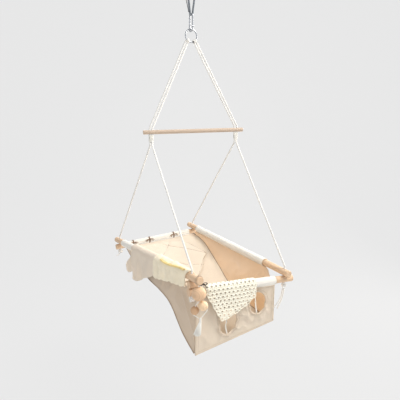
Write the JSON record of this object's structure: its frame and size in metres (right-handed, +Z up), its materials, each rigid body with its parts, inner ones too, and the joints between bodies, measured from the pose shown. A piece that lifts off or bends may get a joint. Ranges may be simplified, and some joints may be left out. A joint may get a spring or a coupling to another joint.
{
  "type": "toddler bucket swing",
  "caption": "Canvas bucket seat sewn onto crossed wooden rails, hung by rope falls from a spreader bar, ring, carabiner and webbing sling.",
  "frame": {"origin": "middle of the sling's top bend, on the axis of the hook or bar that carries the swing", "axes": "+Z up, -Y the front of the seat with the leg holes, +X along the front rail to the child's left"},
  "size_m": [0.4934, 0.8061, 1.2763],
  "materials": {
    "steel": "satin zinc-plated steel",
    "beech": "sanded pale beech",
    "beech_bar": "sanded pale beech",
    "bead_wood": "smooth unvarnished beech",
    "webbing": "woven grey webbing",
    "keeper": "thin dark cord",
    "toy_cord": "fine undyed cotton cord",
    "rope": "braided undyed cotton",
    "canvas": "natural cotton canvas",
    "tape": "folded cotton tape",
    "linen": "quilted linen",
    "knit": "chunky cream knit with a yellow edge",
    "crochet": "openwork crocheted cotton"
  },
  "bodies": {
    "hanger": {"sling": "webbing", "keeper_cord": "keeper", "keeper_knots": "keeper"},
    "carabiner": {"carabiner": "steel"},
    "gate": {"carabiner_gate": "steel", "gate_pin": "steel"},
    "swing": {"ring": "steel", "hitch_left": "rope", "hitch_right": "rope", "spreader_bar": "beech_bar", "whipping_left": "rope", "whipping_right": "rope", "rope_left_back": "rope", "rope_left_front": "rope", "rope_right_back": "rope", "rope_right_front": "rope", "knot_left_back": "rope", "knot_left_front": "rope", "knot_right_back": "rope", "knot_right_front": "rope", "rope_tail_1": "rope", "rope_tail_2": "rope", "rail_left": "beech", "rail_right": "beech", "rail_front": "beech", "rail_back": "beech", "spacer_peg": "beech", "sleeve_left": "canvas", "sleeve_right": "canvas", "sleeve_front": "canvas", "sleeve_back": "canvas", "seat_front": "canvas", "seat_back": "canvas", "seat_left": "canvas", "seat_right": "canvas", "leg_binding_left": "tape", "leg_binding_right": "tape", "petal_mat": "linen", "mat_tie_1": "tape", "mat_tie_2": "tape", "mat_tie_3": "tape", "knit_throw": "knit", "crochet_cloth": "crochet"},
    "toy": {"toy_loop": "toy_cord", "toy_strand_left": "toy_cord", "toy_strand_right": "toy_cord", "toy_knot": "toy_cord", "toy_tassel": "toy_cord"},
    "toy_ball": {"toy_ball": "bead_wood"},
    "toy_bead_left": {"toy_bead_left": "bead_wood"},
    "toy_bead_right": {"toy_bead_right": "bead_wood"}
  },
  "joints": [
    {"name": "carabiner_sway", "type": "hinge", "parent": "hanger", "child": "carabiner", "pos_m": [0, 0, -0.083], "axis": [0, 1, 0], "range_deg": [-15, 15]},
    {"name": "gate_open", "type": "hinge", "parent": "carabiner", "child": "gate", "pos_m": [0, -0.01375, -0.128], "axis": [1, 0, 0], "range_deg": [-25, 0], "stiffness_Nm_per_rad": 0.02},
    {"name": "swing_fore_aft", "type": "hinge", "parent": "carabiner", "child": "swing", "pos_m": [0, 0, -0.13645], "axis": [1, 0, 0], "range_deg": [-35, 35]},
    {"name": "toy_swing", "type": "hinge", "parent": "swing", "child": "toy", "pos_m": [-0.13193, -0.36372, -0.98503], "axis": [0.0905, -0.9937, 0.0661], "range_deg": [-20, 20]},
    {"name": "toy_ball_spin", "type": "hinge", "parent": "toy", "child": "toy_ball", "pos_m": [-0.13193, -0.36372, -1.02903], "axis": [0, 0, 1], "continuous": true},
    {"name": "toy_bead_left_spin", "type": "hinge", "parent": "toy", "child": "toy_bead_left", "pos_m": [-0.14293, -0.35672, -1.08603], "axis": [0.0984, -0.1476, 0.9841], "continuous": true},
    {"name": "toy_bead_right_spin", "type": "hinge", "parent": "toy", "child": "toy_bead_right", "pos_m": [-0.11993, -0.37072, -1.06903], "axis": [-0.5638, 0.3869, 0.7296], "continuous": true}
  ]
}
